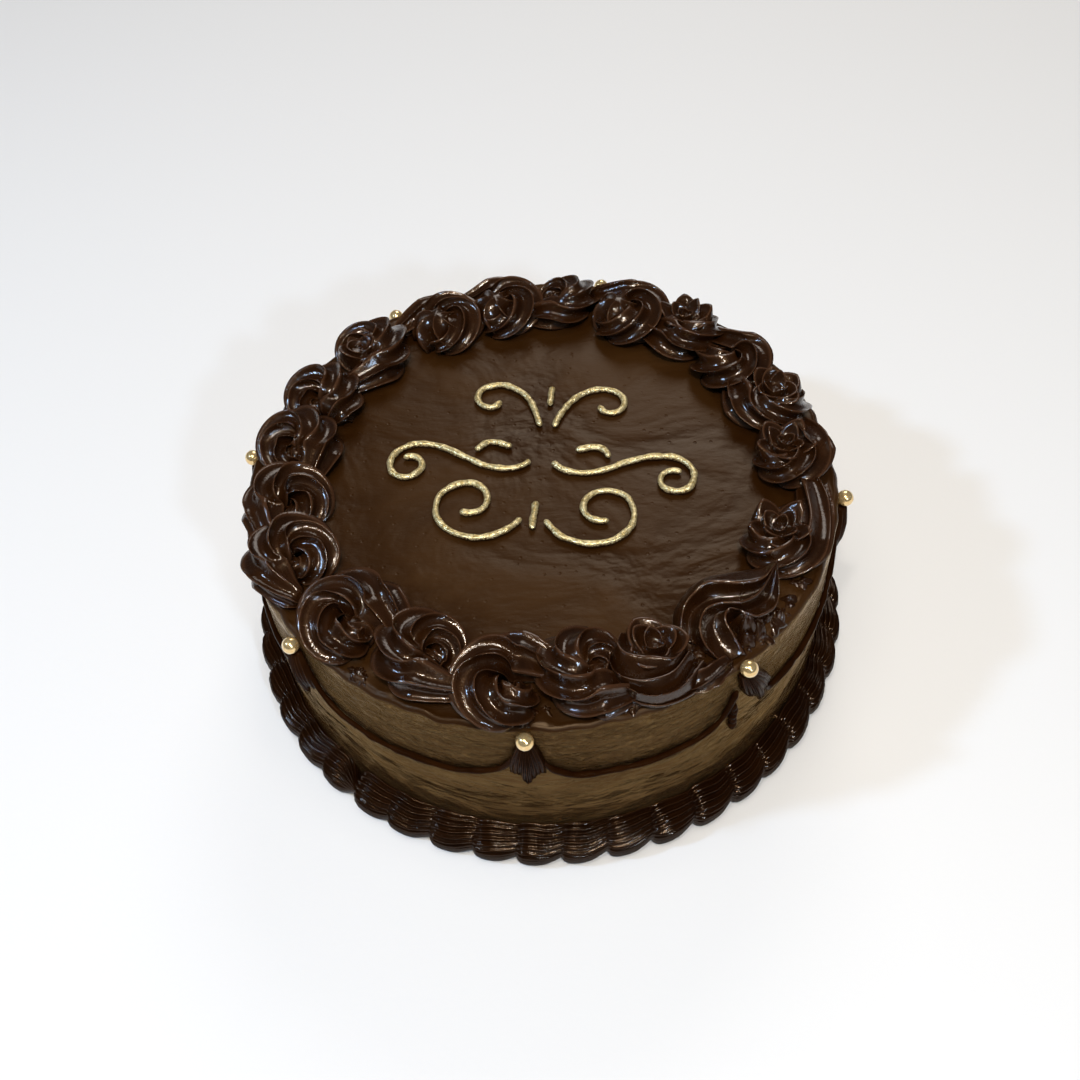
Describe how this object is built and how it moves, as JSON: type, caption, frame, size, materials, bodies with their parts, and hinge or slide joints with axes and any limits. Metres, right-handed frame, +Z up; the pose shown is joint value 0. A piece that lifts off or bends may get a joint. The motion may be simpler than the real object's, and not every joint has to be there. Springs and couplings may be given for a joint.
{
  "type": "chocolate fudge cake",
  "caption": "Whole round chocolate fudge cake with glossy ganache, piped rosettes, a shell border, swags with tassels and pearls, and gilded scrollwork on top.",
  "frame": {"origin": "middle of the cake's flat base, at floor level", "axes": "+Z up; the front of the cake faces -Y; +X to the right seen from the front"},
  "size_m": [0.2554, 0.2554, 0.1039],
  "materials": {
    "ganache": "poured dark chocolate ganache: glossy wall, satin top with faint spatula marks",
    "piped_ganache": "piped dark chocolate ganache, glossy, with thinner and lighter ridges",
    "pearl": "pearlescent pale gold sugar pearl",
    "gilt": "chocolate strand brushed with pale gold lustre dust, brown where the dust is missing"
  },
  "bodies": {
    "root": {"cake_body": "ganache", "base_border": "piped_ganache", "tassel_1": "piped_ganache", "tassel_2": "piped_ganache", "tassel_3": "piped_ganache", "tassel_4": "piped_ganache", "tassel_5": "piped_ganache", "tassel_6": "piped_ganache", "tassel_7": "piped_ganache", "tassel_8": "piped_ganache", "pearl_1": "pearl", "pearl_2": "pearl", "pearl_3": "pearl", "pearl_4": "pearl", "pearl_5": "pearl", "pearl_6": "pearl", "pearl_7": "pearl", "pearl_8": "pearl", "rosette_01": "piped_ganache", "rosette_02": "piped_ganache", "rosette_03": "piped_ganache", "rosette_04": "piped_ganache", "rosette_05": "piped_ganache", "rosette_06": "piped_ganache", "rosette_07": "piped_ganache", "rosette_08": "piped_ganache", "rosette_09": "piped_ganache", "rosette_10": "piped_ganache", "rosette_11": "piped_ganache", "rosette_12": "piped_ganache", "rosette_13": "piped_ganache", "rosette_14": "piped_ganache", "rosette_15": "piped_ganache", "rosette_16": "piped_ganache", "rosette_17": "piped_ganache", "rosette_18": "piped_ganache", "rosette_19": "piped_ganache", "rosette_20": "piped_ganache", "scroll_crest_right": "gilt", "scroll_crest_left": "gilt", "scroll_vine_right": "gilt", "scroll_vine_left": "gilt", "scroll_comma_right": "gilt", "scroll_comma_left": "gilt", "scroll_base_right": "gilt", "scroll_base_left": "gilt", "scroll_crest_drop": "gilt", "scroll_pendant": "gilt"}
  },
  "joints": []
}
